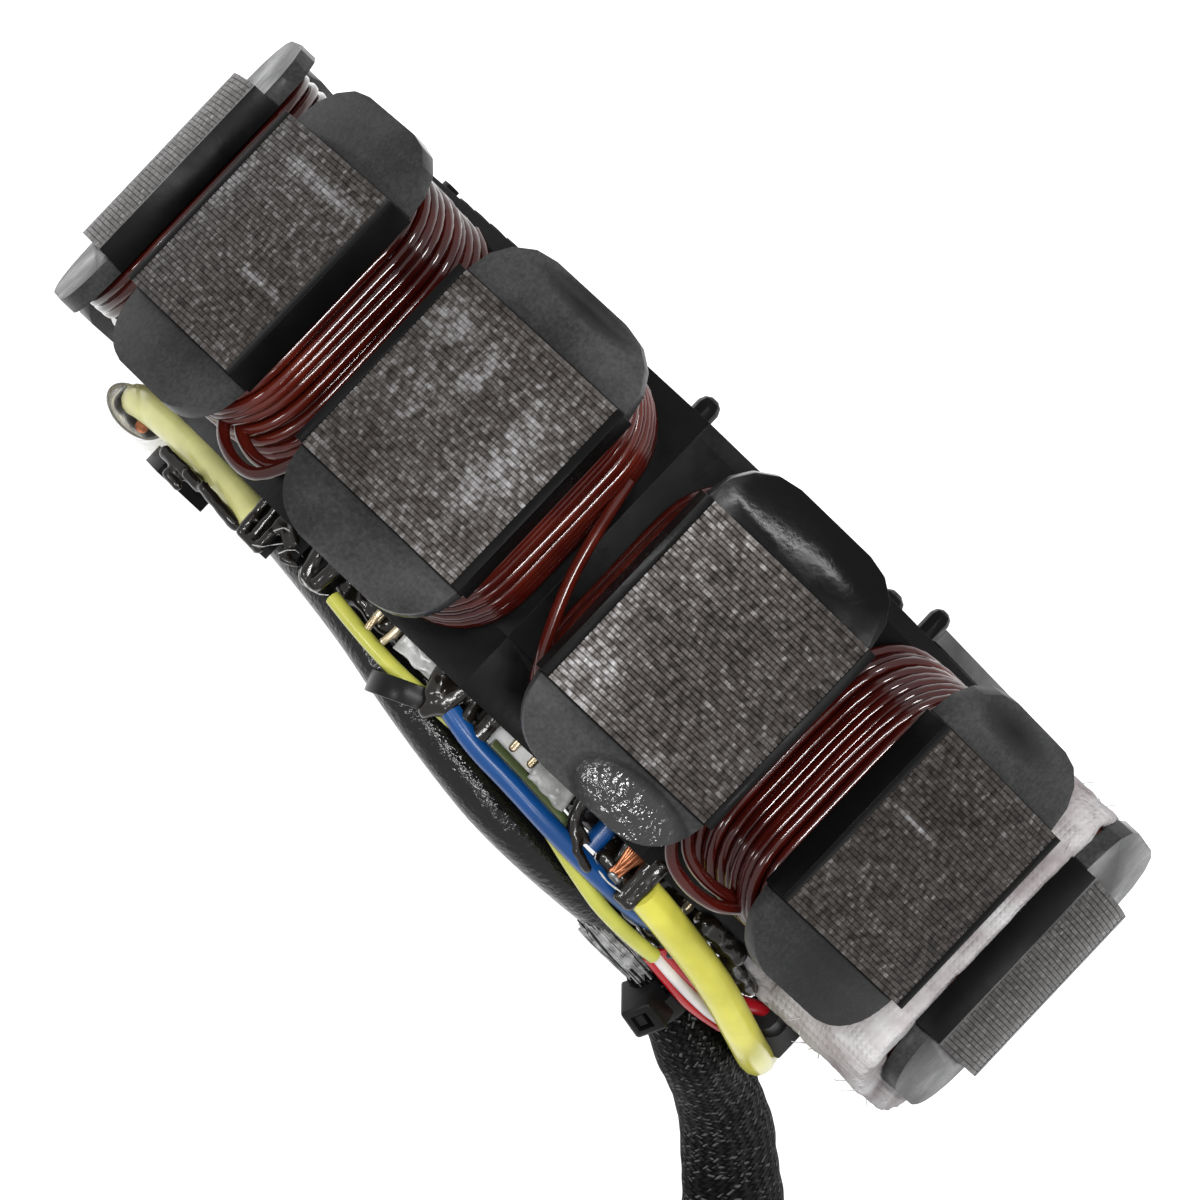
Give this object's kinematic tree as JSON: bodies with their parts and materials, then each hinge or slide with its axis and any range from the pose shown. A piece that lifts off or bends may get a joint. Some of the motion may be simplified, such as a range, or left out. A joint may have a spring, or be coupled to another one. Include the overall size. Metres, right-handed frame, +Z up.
{
  "type": "wound stator",
  "caption": "Wound stator ring for a small engine's flywheel generator: laminated poles with copper coils in black bobbins, sleeved leads and a short braided lead with a plug.",
  "frame": {"origin": "centre of the bore, at the middle of the lamination stack", "axes": "+Y along the bore's axis, away from the side where the leads are; +Z up, the stator standing on the rim of two poles"},
  "size_m": [0.2128, 0.0944, 0.118],
  "materials": {
    "core_steel": "oiled laminated electrical steel, satin",
    "rivet_steel": "plain steel, satin",
    "bobbin_black": "black moulded nylon, semi-gloss",
    "enamelled_copper": "enamelled copper wire, glossy under varnish",
    "fine_copper": "fine enamelled wire, satin",
    "cloth_tape": "woven glass cloth tape, varnished",
    "tinned_pins": "tinned brass, satin",
    "pale_plate": "pale insulating sheet, matt",
    "yellow_sleeving": "yellow PVC sleeving, soft gloss",
    "clear_sleeving": "clear PVC sleeving, glossy",
    "yellow_wire": "yellow wire insulation, soft gloss",
    "blue_wire": "blue wire insulation, soft gloss",
    "green_wire": "dark olive green wire insulation",
    "white_wire": "white wire insulation",
    "red_wire": "red wire insulation",
    "black_rubber": "black rubber, matt",
    "bare_copper": "bare copper with solder, satin",
    "black_tube": "black varnished tubing, glossy",
    "tie_nylon": "black nylon cable tie, matt",
    "braid_black": "black braided polyester sleeve",
    "plug_nylon": "black moulded nylon, matt",
    "paper_grey": "grey varnished insulating paper"
  },
  "bodies": {
    "root": {"laminated_core": "core_steel", "core_rivets": "rivet_steel", "upper_insulator": "bobbin_black", "lower_insulator": "bobbin_black", "coil_01": "enamelled_copper", "coil_02": "enamelled_copper", "coil_03": "enamelled_copper", "coil_04": "enamelled_copper", "coil_05": "enamelled_copper", "coil_06": "enamelled_copper", "coil_07": "enamelled_copper", "coil_08": "enamelled_copper", "coil_09": "enamelled_copper", "coil_10": "enamelled_copper", "coil_11": "enamelled_copper", "exciter_coil": "fine_copper", "cloth_wrap": "cloth_tape", "terminal_pins": "tinned_pins", "terminal_plates": "pale_plate", "yellow_sleeve_a": "yellow_sleeving", "clear_sleeve": "clear_sleeving", "yellow_sleeve_b": "yellow_sleeving", "thin_yellow_lead": "yellow_wire", "blue_lead": "blue_wire", "green_lead": "green_wire", "white_lead": "white_wire", "red_lead": "red_wire", "lead_grommet": "black_rubber", "lead_guide": "plug_nylon", "blue_terminal": "blue_wire", "solder_joint": "bare_copper", "bundle_tube": "black_tube", "bundle_tie": "tie_nylon", "sleeve_tie": "tie_nylon", "braided_sleeve": "braid_black", "connector_seal": "black_rubber", "lead_connector": "plug_nylon", "paper_flap": "paper_grey"}
  },
  "joints": []
}
